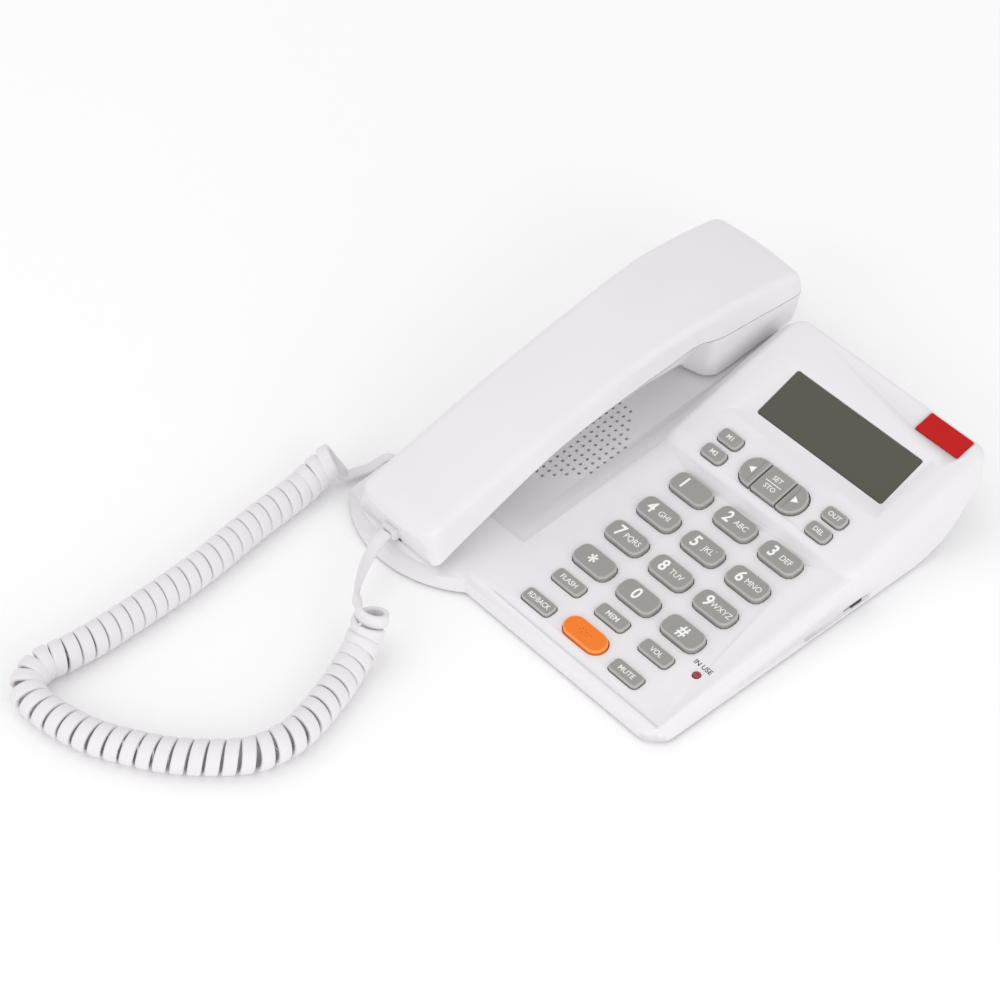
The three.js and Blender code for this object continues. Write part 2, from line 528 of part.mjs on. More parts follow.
// ---------------------------------------------------------------- handset
// Stations from mouth end to ear end: y, top, parting line, underside, half width there, bow in
// plan, and how far the top and bottom edges stand in from that half width.
const STATIONS = [
  [-93.2, 22.6, 11.4, 9.6, 20.8, 2.5, 3.6, 5.0],
  [-92.5, 24.6, 11.8, 9.3, 22.2, 2.5, 3.9, 6.4],
  [-91.2, 26.2, 12.4, 9.2, 23.1, 2.4, 4.2, 7.8],
  [-89.0, 27.4, 13.6, 9.4, 23.5, 2.2, 4.4, 9.0],
  [-76.0, 30.8, 18.9, 10.4, 23.5, 1.4, 4.4, 9.5],
  [-62.0, 34.2, 24.0, 11.8, 23.5, 0.6, 4.3, 9.5],
  [-54.0, 36.1, 27.0, 16.4, 23.5, 0.2, 4.2, 8.5],
  [-44.0, 38.4, 30.2, 24.0, 23.4, 0, 4.0, 5.5],
  [-30.0, 41.4, 34.0, 29.0, 23.3, 0, 3.6, 4.0],
  [-6.0, 45.8, 37.8, 32.4, 23.2, 0, 3.0, 3.5],
  [14.0, 49.1, 39.8, 34.2, 23.2, 0, 2.6, 3.0],
  [28.0, 50.7, 41.2, 34.4, 23.4, 0, 2.1, 2.5],
  [36.0, 51.3, 42.4, 33.2, 23.6, 0, 1.8, 3.0],
  [40.0, 51.5, 42.8, 29.8, 23.8, 0, 1.7, 6.0],
  [43.5, 51.6, 42.5, 24.0, 23.9, 0, 1.6, 11.0],
  [46.0, 51.7, 41.7, 19.9, 24.0, 0, 1.5, 11.0],
  [49.0, 51.7, 40.8, 19.0, 24.2, 0, 1.4, 3.2],
  [54.0, 51.7, 39.4, 18.9, 24.4, 0, 1.3, 0.2],
  [76.0, 50.2, 37.6, 20.75, 24.4, 0, 1.2, 0.2],
  [90.0, 48.2, 36.4, 22.0, 24.4, -0.4, 1.2, 0.2],
  [95.0, 47.2, 36.0, 22.6, 24.3, -0.8, 1.2, 0.4],
  [97.2, 46.0, 35.9, 25.0, 24.0, -0.9, 1.2, 0.8],
  [99.4, 43.8, 35.8, 29.0, 23.4, -1.0, 1.4, 1.2],
  [100.5, 40.8, 35.6, 32.6, 21.4, -1.0, 1.8, 1.5],
];
const TOP_ROUNDING = 3.4; // how far a rounded edge runs in along the top, and below, underneath
const FOOT_ROUNDING = 3.0;

// The two points and the middle of a rounded corner, `along` the wall and `inward` on the flat.
function roundedEdge([wallX, wallZ], [x, z], along, inward) {
  const share = along / Math.hypot(wallX - x, wallZ - z);
  const onWall = [x + (wallX - x) * share, z + (wallZ - z) * share];
  const onFlat = [x - inward, z];
  const middle = [0, 1].map((i) => 0.25 * onWall[i] + 0.5 * [x, z][i] + 0.25 * onFlat[i]);
  return [onWall, middle, onFlat];
}

function handsetRing([y, top, seam, under, half, bow, slope, sink], inset) {
  const h = half - inset;
  const [t, u] = [top - inset, under + inset];
  const waist = [h, Math.min(Math.max(seam, u + 1), t - 2)];
  const upper = roundedEdge(waist, [h - slope, t], Math.min(3.2, 0.45 * (t - waist[1])), TOP_ROUNDING);
  const lower = roundedEdge(waist, [h - sink, u], Math.min(2.4, 0.45 * (waist[1] - u)), FOOT_ROUNDING);
  const side = [[h * 0.4, t + 0.45], ...upper.reverse(), waist, ...lower];
  const mirrored = side.map(([x, z]) => [-x, z]).reverse();
  return [...side, ...mirrored].map(([x, z]) => P3(CRADLE_X + x, y - bow * (1 - (x / h) ** 2), z));
}

const handsetForm = solid(loft(STATIONS.map((s) => handsetRing(s, 0))));
const innerStations = STATIONS.slice(1, -1).map((s, i, all) => {
  const y = i === 0 ? s[0] + 2.0 : i === all.length - 1 ? s[0] - 2.2 : s[0];
  return [y, ...s.slice(1)];
});
const handsetRoom = solid(loft(innerStations.map((s) => handsetRing(s, WALL))));
const seamLine = STATIONS.map(([y, , seam]) => [y, seam]);
seamLine.unshift([-110, seamLine[0][1]]);
seamLine.push([110, seamLine.at(-1)[1]]);
const shiftLine = (dz) => seamLine.map(([y, z]) => [y, z + dz]);
const aboveSeam = alongX([...shiftLine(0.15), [110, 90], [-110, 90]], -110, 20);
const belowSeam = alongX([[110, -20], [-110, -20], ...shiftLine(-0.15)].reverse(), -110, 20);
const JACK_FACE_Y = -93.6;
const jackRoom = solid(
  box(
    HANDSET_JACK.x - 5, HANDSET_JACK.x + 5, JACK_FACE_Y - 0.3, JACK_FACE_Y + 12,
    HANDSET_JACK.z - 3.5, HANDSET_JACK.z + 3.5,
  ),
);
const jackHole = jackRoom.add(solid(
  box(
    HANDSET_JACK.x - PLUG.w / 2 - 0.4, HANDSET_JACK.x + PLUG.w / 2 + 0.4, -110, -88,
    HANDSET_JACK.z - PLUG.h / 2 - 0.4, HANDSET_JACK.z + PLUG.h / 2 + 0.4,
  ),
));
const backShell = handsetForm.intersect(aboveSeam).subtract(handsetRoom).subtract(jackHole);
const frontShell = handsetForm.intersect(belowSeam).subtract(handsetRoom).subtract(jackHole);
add("handset_back_shell", geometryOf(backShell), "handset_white", handset);
add("handset_front_shell", geometryOf(frontShell), "handset_white", handset);

const earpiece = disc(0, 0, 14, 0, 5, 24).applyMatrix4(
  frameMatrix({ x: CRADLE_X, y: 70, z: 23.4, tilt: KEYPAD.tilt }),
);
add("earpiece", earpiece, "capsule_dark", handset);
const microphone = disc(0, 0, 4.8, 0, 4.2, 16).applyMatrix4(
  frameMatrix({ x: CRADLE_X, y: -66, z: 14.4, tilt: KEYPAD.tilt }),
);
add("microphone", microphone, "capsule_dark", handset);

const handsetJack = add("handset_jack", socket(9.4, 6.4, 11.5, 7.9, 5.8, 8.6), "socket_black", handset);
handsetJack.position.set(HANDSET_JACK.x, JACK_FACE_Y, HANDSET_JACK.z);
handsetJack.rotation.z = Math.PI;

// A modular plug: a clear block that narrows where the flat cord enters it.
function plug() {
  const [w, h] = [PLUG.w / 2 - 0.15, PLUG.h / 2 - 0.2];
  const ring = (y, x, z) => [P3(-x, y, -z), P3(x, y, -z), P3(x, y, z), P3(-x, y, z)];
  return loft([
    ring(0, w - 0.8, h - 0.6),
    ring(1.6, w, h),
    ring(PLUG.l, w, h),
  ]);
}
const HANDSET_PLUG_Y = -96.5;
add("handset_plug", plug(), "plug_clear", handset)
  .position.set(HANDSET_JACK.x, HANDSET_PLUG_Y, HANDSET_JACK.z);
const BASE_PLUG_X = -85.9;
const basePlug = add("base_plug", plug(), "plug_clear");
basePlug.position.set(BASE_PLUG_X, BASE_JACK.y, BASE_JACK.z);
basePlug.rotation.z = -Math.PI / 2;

// ---------------------------------------------------------------- curly cord
// The coiled stretch lies on the table and lifts at both ends. Points are x, y and, where the
// coil is off the table, z; the solid is the coil's outer diameter.
const COIL_ROUTE = [
  [-21.8, -130.2, 17.2], [-20.1, -133.9, 13.8], [-18.5, -138, 10.5], [-15.9, -143.8, 8.3],
  [-13.6, -149.8, 7.2], [-11, -156.2], [-7, -167.8], [-4.2, -178.5], [-3.8, -187], [-5.8, -197.5],
  [-11.4, -206.6], [-21.5, -217.6], [-32.4, -226.3], [-49, -236], [-62, -240.5], [-76, -243],
  [-86.5, -241], [-91.5, -232], [-90, -220], [-89, -206], [-89.5, -182], [-91, -157], [-95, -130],
  [-97.9, -104.3], [-98.8, -97.2, 7.5], [-98.9, -90.6, 9.6], [-97.6, -85.4, 13.2],
];
// The straight stretches run from the handset's plug down to the coil, and on to the base's plug.
const HANDSET_TAIL = [
  [-52.5, -96.9, 14.5], [-52.1, -100.2, 14.1], [-50.9, -104.2, 13.1], [-48.8, -108.9, 12.2],
  [-45.8, -114.1, 11.7], [-42.3, -118.8, 11.9], [-38.6, -122.9, 12.8], [-35.1, -126.5, 14.2],
  [-31.8, -130.0, 15.8],
];
const BASE_TAIL = [
  [-94.3, -82.6, 3.8], [-93.5, -78.9, 3.1], [-92.4, -75.2, 2.9], [-91.3, -71.6, 3.1],
  [-90.6, -68.4, 4.1], [-89.6, -66.0, 5.4], [-88.2, -65.1, 6.1], [-86.4, -65, 6.2],
];

function tube(points, radius, steps, sides) {
  const path = new THREE.CatmullRomCurve3(points);
  const section = new THREE.Shape(
    Array.from({ length: sides }, (_, i) => {
      const a = (2 * Math.PI * i) / sides;
      return P2(radius * Math.cos(a), radius * Math.sin(a));
    }),
  );
  return new THREE.ExtrudeGeometry(section, { steps, bevelEnabled: false, extrudePath: path });
}

const coilPath = COIL_ROUTE.map(([x, y, z = COIL_R]) => P3(x, y, z));
add("cord_coil", tube(coilPath, COIL_R, 60, 10), "cord_white");
const [handsetTail, baseTail] = [HANDSET_TAIL, BASE_TAIL].map((tail) => tail.map((p) => P3(...p)));
add("cord_handset_end", tube(handsetTail, CORD_WIDTH / 2, 14, 8), "cord_white", handset);
add("cord_base_end", tube(baseTail, CORD_WIDTH / 2, 9, 8), "cord_white");

export default phone;
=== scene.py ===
"""Looks for the corded desk telephone: smooth shells, keys with legends, curly cord, materials.

Lengths in this script are millimetres in the CAD's own frame, and become metres as each mesh is made.
"""
import json
import math

import bmesh
import bpy
import numpy as np
from mathutils import Matrix, Vector

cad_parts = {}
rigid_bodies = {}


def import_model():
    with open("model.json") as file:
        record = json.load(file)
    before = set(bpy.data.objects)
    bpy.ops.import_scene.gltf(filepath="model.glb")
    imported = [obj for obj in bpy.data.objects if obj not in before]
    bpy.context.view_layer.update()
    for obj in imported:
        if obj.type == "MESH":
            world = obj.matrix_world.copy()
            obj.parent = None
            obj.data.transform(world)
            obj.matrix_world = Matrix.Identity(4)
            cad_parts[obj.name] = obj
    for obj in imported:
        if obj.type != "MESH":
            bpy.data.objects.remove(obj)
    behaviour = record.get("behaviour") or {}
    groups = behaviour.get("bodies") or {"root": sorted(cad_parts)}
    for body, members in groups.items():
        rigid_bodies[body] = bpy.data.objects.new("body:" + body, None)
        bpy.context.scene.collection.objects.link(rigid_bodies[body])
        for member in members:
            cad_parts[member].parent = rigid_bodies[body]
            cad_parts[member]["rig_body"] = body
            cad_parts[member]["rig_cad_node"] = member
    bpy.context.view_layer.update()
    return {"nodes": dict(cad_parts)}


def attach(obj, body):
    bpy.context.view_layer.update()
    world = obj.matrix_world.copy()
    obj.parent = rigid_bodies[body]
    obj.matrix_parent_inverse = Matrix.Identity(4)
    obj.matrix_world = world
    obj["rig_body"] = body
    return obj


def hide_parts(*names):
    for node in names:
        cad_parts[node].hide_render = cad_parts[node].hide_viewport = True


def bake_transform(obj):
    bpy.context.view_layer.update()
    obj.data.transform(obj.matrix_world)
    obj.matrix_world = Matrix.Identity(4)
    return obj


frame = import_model()
MM = 0.001

# Tilted planes of the faceplate, the console and the display, as in the CAD.
KEYPAD = (35.75, -23.3, 14.55, 5.0)
CONSOLE = (35.1, 15.0, 20.7, 13.3)
DISPLAY = (34.9, 57.75, 28.7, 20.6)
KEY_FLANGE = -3.2  # underside of a key's flange, below the faceplate
CRADLE_X = -51.0
CRADLE_DEPTH = 3.0


# ---------------------------------------------------------------- camera
def make_camera():
    data = bpy.data.cameras.new("camera")
    data.sensor_width = 36
    data.lens = 122.4
    data.clip_end = 20
    camera = bpy.data.objects.new("camera", data)
    camera.location = (0.63724, -0.65438, 0.95393)
    target = Vector((-0.02348, -0.06483, 0.0329))
    camera.rotation_euler = (target - camera.location).to_track_quat("-Z", "Y").to_euler()
    bpy.context.scene.collection.objects.link(camera)
    bpy.context.scene.camera = camera


make_camera()


# ---------------------------------------------------------------- mesh helpers
def panel(plane):
    """Matrix of a tilted panel: x along it, y up its slope, z out of it."""
    x, y, z, tilt = plane
    return Matrix.Translation((x, y, z)) @ Matrix.Rotation(math.radians(tilt), 4, "X")


IN_KEYPAD = panel(KEYPAD)
IN_CONSOLE = panel(CONSOLE)
IN_DISPLAY = panel(DISPLAY)


def piece(name, points, faces, body, material, matrix=None, replaces=(), smooth=35):
    """A mesh object from points in millimetres; faces turn smooth where they meet under an angle."""
    if matrix is not None:
        points = [matrix @ Vector(p) for p in points]
    mesh = bpy.data.meshes.new(name)
    mesh.from_pydata([Vector(p) * MM for p in points], [], faces)
    if smooth:
        mesh.shade_smooth()
        mesh.set_sharp_from_angle(angle=math.radians(smooth))
    obj = bpy.data.objects.new(name, mesh)
    bpy.context.scene.collection.objects.link(obj)
    mesh.materials.append(material)
    if body:
        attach(obj, body)
    if replaces:
        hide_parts(*replaces)
    return obj


def loft(rings, closed_ends=True):
    """Points and faces of a skin over rings of equal count."""
    n = len(rings[0])
    points = [p for ring in rings for p in ring]
    faces = []
    for k in range(len(rings) - 1):
        for i in range(n):
            a, b = k * n + i, k * n + (i + 1) % n
            faces.append((a, b, b + n, a + n))
    if closed_ends:
        faces.append(tuple(reversed(range(n))))
        faces.append(tuple(range((len(rings) - 1) * n, len(rings) * n)))
    return points, faces


def prism(ring, low, high):
    """Points and faces of a flat outline stretched between two heights."""
    return loft([[(x, y, low) for x, y in ring], [(x, y, high) for x, y in ring]])


def rounded_outline(w, h, r, steps=6, left_r=None):
    """Points of a rectangle with round corners, anticlockwise."""
    left_r = r if left_r is None else left_r
    corners = [
        (w / 2 - r, -h / 2 + r, r, -90),
        (w / 2 - r, h / 2 - r, r, 0),
        (-w / 2 + left_r, h / 2 - left_r, left_r, 90),
        (-w / 2 + left_r, -h / 2 + left_r, left_r, 180),
    ]
    points = []
    for cx, cy, radius, start in corners:
        for i in range(steps + 1):
            a = math.radians(start + 90 * i / steps)
            points.append((cx + radius * math.cos(a), cy + radius * math.sin(a)))
    return points


def catmull(points, per_span):
    """Points of a smooth curve through the given ones."""
    p = [Vector(q) for q in points]
    p = [2 * p[0] - p[1], *p, 2 * p[-1] - p[-2]]
    out = []
    for k in range(1, len(p) - 2):
        for i in range(per_span):
            t = i / per_span
            a, b, c, d = p[k - 1], p[k], p[k + 1], p[k + 2]
            out.append(
                0.5 * ((2 * b) + (c - a) * t + (2 * a - 5 * b + 4 * c - d) * t * t
                       + (3 * b - a - 3 * c + d) * t ** 3)
            )
    out.append(p[-2])
    return out


def smoothstep(t):
    t = min(1.0, max(0.0, t))
    return t * t * (3 - 2 * t)


# ---------------------------------------------------------------- materials
def linear(rgb):
    return [((c / 255 + 0.055) / 1.055) ** 2.4 if c > 10 else c / 255 / 12.92 for c in rgb]


def plastic(name, rgb, roughness, grain=0.03, grain_scale=2200, coat=0.0, mottle=0.02,
            specular=0.5):
    """Moulded plastic: a fine grain in the surface, and slight unevenness of tone and polish."""
    material = bpy.data.materials.new(name)
    material.use_nodes = True
    nodes, links = material.node_tree.nodes, material.node_tree.links
    shader = nodes["Principled BSDF"]
    where = nodes.new("ShaderNodeTexCoord")
    fine = nodes.new("ShaderNodeTexNoise")
    fine.inputs["Scale"].default_value = grain_scale
    fine.inputs["Detail"].default_value = 3
    broad = nodes.new("ShaderNodeTexNoise")
    broad.inputs["Scale"].default_value = 35
    broad.inputs["Detail"].default_value = 4
    for texture in (fine, broad):
        links.new(where.outputs["Object"], texture.inputs["Vector"])
    tone = nodes.new("ShaderNodeMix")
    tone.data_type = "RGBA"
    base = linear(rgb)
    tone.inputs[6].default_value = (*[c * (1 - mottle) for c in base], 1)
    tone.inputs[7].default_value = (*[min(1, c * (1 + mottle)) for c in base], 1)
    links.new(broad.outputs["Fac"], tone.inputs[0])
    links.new(tone.outputs[2], shader.inputs["Base Color"])
    polish = nodes.new("ShaderNodeMapRange")
    polish.inputs["To Min"].default_value = roughness - 0.05
    polish.inputs["To Max"].default_value = roughness + 0.05
    links.new(broad.outputs["Fac"], polish.inputs["Value"])
    links.new(polish.outputs["Result"], shader.inputs["Roughness"])
    bump = nodes.new("ShaderNodeBump")
    bump.inputs["Strength"].default_value = grain
    bump.inputs["Distance"].default_value = 0.0002
    links.new(fine.outputs["Fac"], bump.inputs["Height"])
    links.new(bump.outputs["Normal"], shader.inputs["Normal"])
    shader.inputs["Coat Weight"].default_value = coat
    shader.inputs["Coat Roughness"].default_value = 0.12
    shader.inputs["Specular IOR Level"].default_value = specular
    return material


WHITE = plastic("white_case", (232, 229, 233), 0.42, grain=0.05)
HANDSET_WHITE = plastic("white_handset", (232, 229, 233), 0.36, grain=0.03, coat=0.1)
KEY_GREY = plastic("grey_keys", (150, 149, 145), 0.5, grain=0.06)
# Painted highlight: a lighter grey for the keys' rounded top edges, standing in for light caught there;
# the key pip takes it too.
KEY_EDGE_PAINTED_HIGHLIGHT = plastic("grey_key_edges", (178, 177, 173), 0.4, grain=0.04)
ORANGE = plastic("orange_key", (242, 124, 34), 0.48, grain=0.06, specular=0.25)
# Painted highlight: a lighter orange for the rounded top edge of the speaker key.
ORANGE_EDGE_PAINTED_HIGHLIGHT = plastic("orange_key_edge", (246, 150, 80), 0.4, grain=0.04)
SMOKE = plastic("display_window", (74, 70, 60), 0.22, grain=0.0, mottle=0.03, specular=0.4)
RED = plastic("red_plate", (190, 12, 10), 0.35, grain=0.04, mottle=0.06, specular=0.2)
LAMP = plastic("lamp_lens", (150, 20, 22), 0.15, grain=0.0, coat=0.5)
BLACK = plastic("socket_plastic", (34, 34, 36), 0.5, grain=0.05)
DARK = plastic("dark_inside", (60, 58, 54), 0.7, grain=0.05)
BOARD = plastic("circuit_board", (40, 96, 60), 0.55, grain=0.08, mottle=0.1)
SILICONE = plastic("silicone_mat", (180, 179, 176), 0.7, grain=0.03)
RUBBER = plastic("rubber_foot", (72, 72, 74), 0.85, grain=0.15)
CORD = plastic("cord_jacket", (230, 227, 230), 0.45, grain=0.02, grain_scale=1500)
INK_WHITE = plastic("white_print", (245, 245, 243), 0.5, grain=0.0, mottle=0.01)
INK_BLACK = plastic("black_print", (38, 34, 36), 0.5, grain=0.0, mottle=0.02)
STEEL = plastic("screw_steel", (150, 153, 158), 0.35, grain=0.05)
STEEL.node_tree.nodes["Principled BSDF"].inputs["Metallic"].default_value = 1.0
CLEAR = plastic("clear_plug", (240, 240, 240), 0.12, grain=0.02)
CLEAR.node_tree.nodes["Principled BSDF"].inputs["Transmission Weight"].default_value = 0.2


# ---------------------------------------------------------------- curly cord
CORD_WIDTH = 5.2
CORD_THICK = 2.3
COIL_R = 6.8
TURN_R = COIL_R - CORD_THICK / 2
# The coil lies on the table and lifts at both ends; x, y and, off the table, z.
COIL_ROUTE = [
    (-21.8, -130.2, 17.2), (-20.1, -133.9, 13.8), (-18.5, -138, 10.5), (-15.9, -143.8, 8.3),
    (-13.6, -149.8, 7.2), (-11, -156.2), (-7, -167.8), (-4.2, -178.5), (-3.8, -187),
    (-5.8, -197.5), (-11.4, -206.6), (-21.5, -217.6), (-32.4, -226.3), (-49, -236),
    (-62, -240.5), (-76, -243), (-86.5, -241), (-91.5, -232), (-90, -220), (-89, -206),
    (-89.5, -182), (-91, -157), (-95, -130), (-97.9, -104.3), (-98.8, -97.2, 7.5),
    (-98.9, -90.6, 9.6), (-97.6, -85.4, 13.2),
]
HANDSET_TAIL = [
    (-52.5, -96.9, 14.5), (-52.1, -100.2, 14.1), (-50.9, -104.2, 13.1), (-48.8, -108.9, 12.2),
    (-45.8, -114.1, 11.7), (-42.3, -118.8, 11.9), (-38.6, -122.9, 12.8), (-35.1, -126.5, 14.2),
    (-31.8, -130.0, 15.8),
]
BASE_TAIL = [
    (-94.3, -82.6, 3.8), (-93.5, -78.9, 3.1), (-92.4, -75.2, 2.9), (-91.3, -71.6, 3.1),
    (-90.6, -68.4, 4.1), (-89.6, -66.0, 5.4), (-88.2, -65.1, 6.1), (-86.4, -65, 6.2),
]
ROUTE_STEPS = 24  # straight steps per span of the coil's route
TAIL_STEPS = 6
PITCH_LOOSE = 5.95  # at the handset's end
PITCH_TIGHT = 5.45  # at the base's end, hardly more than the ribbon's width
TIGHTENS_AT, TIGHTENS_OVER = 0.45, 0.2  # shares of the coil's length
POINTS_PER_TURN = 26
COIL_START = -3.0  # the first turn stands a little before the route's first point
START_ANGLE = math.radians(10)  # where round the coil the ribbon comes in
END_ANGLE = math.radians(-75)  # and where it goes out
LEAN = 0.6  # the turns at the handset's end lean back, and so show their hollow
END_LEAN = 0.33
LEAN_LENGTH = 16.0
LIFTED_TURNS = 14  # turns over which the unused lift weights fade out
PLUG_HOLD = 8  # length of cord at the plug given full weight in the unused lift weights


def coil_frames():
    """Points, travelled length and an untwisted pair of cross directions along the coil."""
    curve = catmull([(*p, COIL_R)[:3] for p in COIL_ROUTE], ROUTE_STEPS)
    steps, sides, ups = [0.0], [], []
    side = (curve[1] - curve[0]).cross(Vector((0, 0, 1)))
    for k, p in enumerate(curve):
        along = (curve[min(k + 1, len(curve) - 1)] - curve[max(k - 1, 0)]).normalized()
        side = (side - side.dot(along) * along).normalized()
        sides.append(side)
        ups.append(side.cross(along))
        if k:
            steps.append(steps[-1] + (p - curve[k - 1]).length)
    return curve, steps, sides, ups


def wind(curve, steps, sides, ups, stretch):
    """The ribbon's centre line round the coil, its outward directions and its last angle."""
    total = steps[-1]
    s, angle = COIL_START, START_ANGLE
    points, outward = [], []
    while s < total:
        k = min(max(int(np.searchsorted(steps, s)) - 1, 0), len(curve) - 2)
        t = (s - steps[k]) / (steps[k + 1] - steps[k])
        middle = curve[k].lerp(curve[k + 1], t)
        side, up = sides[k].lerp(sides[k + 1], t), ups[k].lerp(ups[k + 1], t)
        along = up.cross(side)
        lean = LEAN * (1 - smoothstep(s / LEAN_LENGTH))
        lean += END_LEAN * (1 - smoothstep((total - s) / LEAN_LENGTH))
        leaning = math.cos(lean) * up + math.sin(lean) * along
        out = (math.cos(angle) * side + math.sin(angle) * leaning).normalized()
        points.append(middle + TURN_R * out)
        outward.append(out)
        tightened = smoothstep((s / total - TIGHTENS_AT) / TIGHTENS_OVER)
        pitch = PITCH_LOOSE + (PITCH_TIGHT - PITCH_LOOSE) * tightened
        s += pitch * stretch / POINTS_PER_TURN
        angle += 2 * math.pi / POINTS_PER_TURN
    return points, outward, angle


def coil_points():
    """The wound ribbon, with its turns spread so that the last one ends at the tail."""
    frames = coil_frames()
    angle = wind(*frames, 1.0)[2]
    turns = angle - START_ANGLE
    short = (angle - END_ANGLE) % (2 * math.pi)
    return wind(*frames, turns / (turns - short))[:2]


def cord_line():
    """The whole cord's centre line, its thin directions, and how many points lead to the coil.

    The handset's tail leaves out its last point here, and so joins the first turn softly.
    """
    points, outward = coil_points()
    lead = catmull(HANDSET_TAIL[:-1] + [tuple(points[0]), tuple(points[3])], TAIL_STEPS)
    lead = lead[: -TAIL_STEPS - 1]
    trail = catmull([tuple(points[-4]), tuple(points[-1])] + BASE_TAIL, TAIL_STEPS)
    trail = trail[TAIL_STEPS + 1:]
    up = Vector((0, 0, 1))
    lead_out = [up.lerp(outward[0], smoothstep(i / len(lead))) for i in range(len(lead))]
    trail_out = [outward[-1].lerp(-up, smoothstep(2 * i / len(trail))) for i in range(len(trail))]
    return lead + points + trail, lead_out + outward + trail_out, len(lead)


def ribbon_section():
    return rounded_outline(CORD_WIDTH, CORD_THICK, 1.0, steps=3)


def make_cord():
    line, outward, lead_count = cord_line()
    rings = []
    for i, p in enumerate(line):
        along = (line[min(i + 1, len(line) - 1)] - line[max(i - 1, 0)]).normalized()
        thin = (outward[i] - outward[i].dot(along) * along).normalized()
        wide = along.cross(thin)
        rings.append([p + a * wide + b * thin for a, b in ribbon_section()])
    points, faces = loft(rings)
    cord = piece("curly_cord", points, faces, None, CORD, smooth=60)
    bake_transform(cord)
    travelled = [0.0]
    for a, b in zip(line, line[1:]):
        travelled.append(travelled[-1] + (b - a).length)
    # Weights for a lift of the handset's end, fading out over the first turns, are worked out here but
    # not put on the cord.
    reach = travelled[lead_count] + LIFTED_TURNS * 2 * math.pi * TURN_R
    per_ring = len(ribbon_section())
    weights = []
    for s in travelled:
        weights += [1 - smoothstep((s - PLUG_HOLD) / (reach - PLUG_HOLD))] * per_ring
    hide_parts("cord_coil", "cord_handset_end", "cord_base_end")


make_cord()


# ---------------------------------------------------------------- base
def cad_copy(node, name, body, material, smooth=35):
    """A new piece that starts from a CAD node's mesh, to be cut further."""
    obj = frame["nodes"][node].copy()
    obj.data = frame["nodes"][node].data.copy()
    obj.name = name
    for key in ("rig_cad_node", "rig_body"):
        if key in obj:
            del obj[key]
    bpy.context.scene.collection.objects.link(obj)
    obj.parent = None
    weld = bmesh.new()
    weld.from_mesh(obj.data)
    bmesh.ops.remove_doubles(weld, verts=weld.verts, dist=2e-6)
    weld.to_mesh(obj.data)
    weld.free()
    obj.data.materials.clear()
    obj.data.materials.append(material)
    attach(obj, body)
    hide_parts(node)
    return obj


def cut(obj, points, faces, matrix):
    """Takes a closed shape away from a piece."""
    tool = piece("tool", points, faces, None, WHITE, matrix=matrix, smooth=0)
    modifier = obj.modifiers.new("cut", "BOOLEAN")
    modifier.operation = "DIFFERENCE"
    modifier.object = tool
    modifier.solver = "EXACT"
    graph = bpy.context.evaluated_depsgraph_get()
    made = bpy.data.meshes.new_from_object(obj.evaluated_get(graph))
    obj.modifiers.clear()
    obj.data = made
    bpy.data.objects.remove(tool)


GRILLE_X, GRILLE_Y = -46.0, -6.4
GRILLE_PITCH_X, GRILLE_PITCH_Y = 3.1, 3.6
GRILLE_ROWS = 14
GRILLE_END_HOLES = 6  # holes in the first and the last row
GRILLE_HOLE_R = 0.75
HOLE_BELOW, HOLE_ABOVE = 4, 3  # how far a hole's cutter reaches from the channel's floor


def grille_places():
    """Places of the loudspeaker's holes: an octagon of rows, on the faceplate's plane."""
    places = []
    for row in range(GRILLE_ROWS):
        from_end = min(row, GRILLE_ROWS - 1 - row)
        count = min(GRILLE_ROWS, GRILLE_END_HOLES + 2 * from_end)
        for k in range(count):
            x = (k - (count - 1) / 2) * GRILLE_PITCH_X
            y = (row - (GRILLE_ROWS - 1) / 2) * GRILLE_PITCH_Y
            places.append((x, y))
    return places


def make_base():
    top = cad_copy("top_case", "top_case_shell", "base", WHITE)
    middle = Matrix.Translation((GRILLE_X, GRILLE_Y, 0))
    slope = math.tan(math.radians(KEYPAD[3]))
    holes_points, holes_faces = [], []
    for x, y in grille_places():
        z = KEYPAD[2] + (GRILLE_Y + y - KEYPAD[1]) * slope - CRADLE_DEPTH
        ring = [(x + GRILLE_HOLE_R * math.cos(a), y + GRILLE_HOLE_R * math.sin(a))
                for a in np.arange(10) * math.pi / 5]
        points, faces = prism(ring, z - HOLE_BELOW, z + HOLE_ABOVE)
        first = len(holes_points)
        holes_points += points
        holes_faces += [tuple(first + i for i in f) for f in faces]
    cut(top, holes_points, holes_faces, middle)
    top.data.shade_smooth()
    top.data.set_sharp_from_angle(angle=math.radians(32))


make_base()


# ---------------------------------------------------------------- keys
def key_rings(outline_of, top, lip):
    """Rings from the flange up to the softly rounded top."""
    shoulder = KEY_FLANGE + 0.75
    rings = [(2 * lip, KEY_FLANGE), (2 * lip, shoulder), (0, shoulder), (-0.1, top - 0.9)]
    for i in range(1, 6):
        a = math.radians(90 * i / 5)
        rings.append((-0.1 - 1.1 * (1 - math.cos(a)), top - 0.6 + 0.55 * math.sin(a)))
    rings.append((-4.0, top))
    return [[(x, y, w) for x, y in outline_of(grow)] for grow, w in rings]


# These bands are coloured with the painted highlight, lighter than the key's top.
FIRST_PAINTED_HIGHLIGHT_BAND, LAST_PAINTED_HIGHLIGHT_BAND = 3, 7  # the bands of a key's skin that round off its top


def make_key(node, plane, x, y, outline_of, top, finish=(KEY_GREY, KEY_EDGE_PAINTED_HIGHLIGHT), lip=0.8):
    rings = key_rings(outline_of, top, lip)
    points, faces = loft(rings)
    matrix = plane @ Matrix.Translation((x, y, 0))
    key = piece(node + "_cap", points, faces, node + "_body", finish[0], matrix,
                replaces=(node,), smooth=40)
    # The second material is a painted highlight, put on the bands that round the top edge.
    key.data.materials.append(finish[1])
    for i, face in enumerate(key.data.polygons):
        if FIRST_PAINTED_HIGHLIGHT_BAND <= i // len(rings[0]) <= LAST_PAINTED_HIGHLIGHT_BAND:
            face.material_index = 1


PRINT_THICK = 0.03


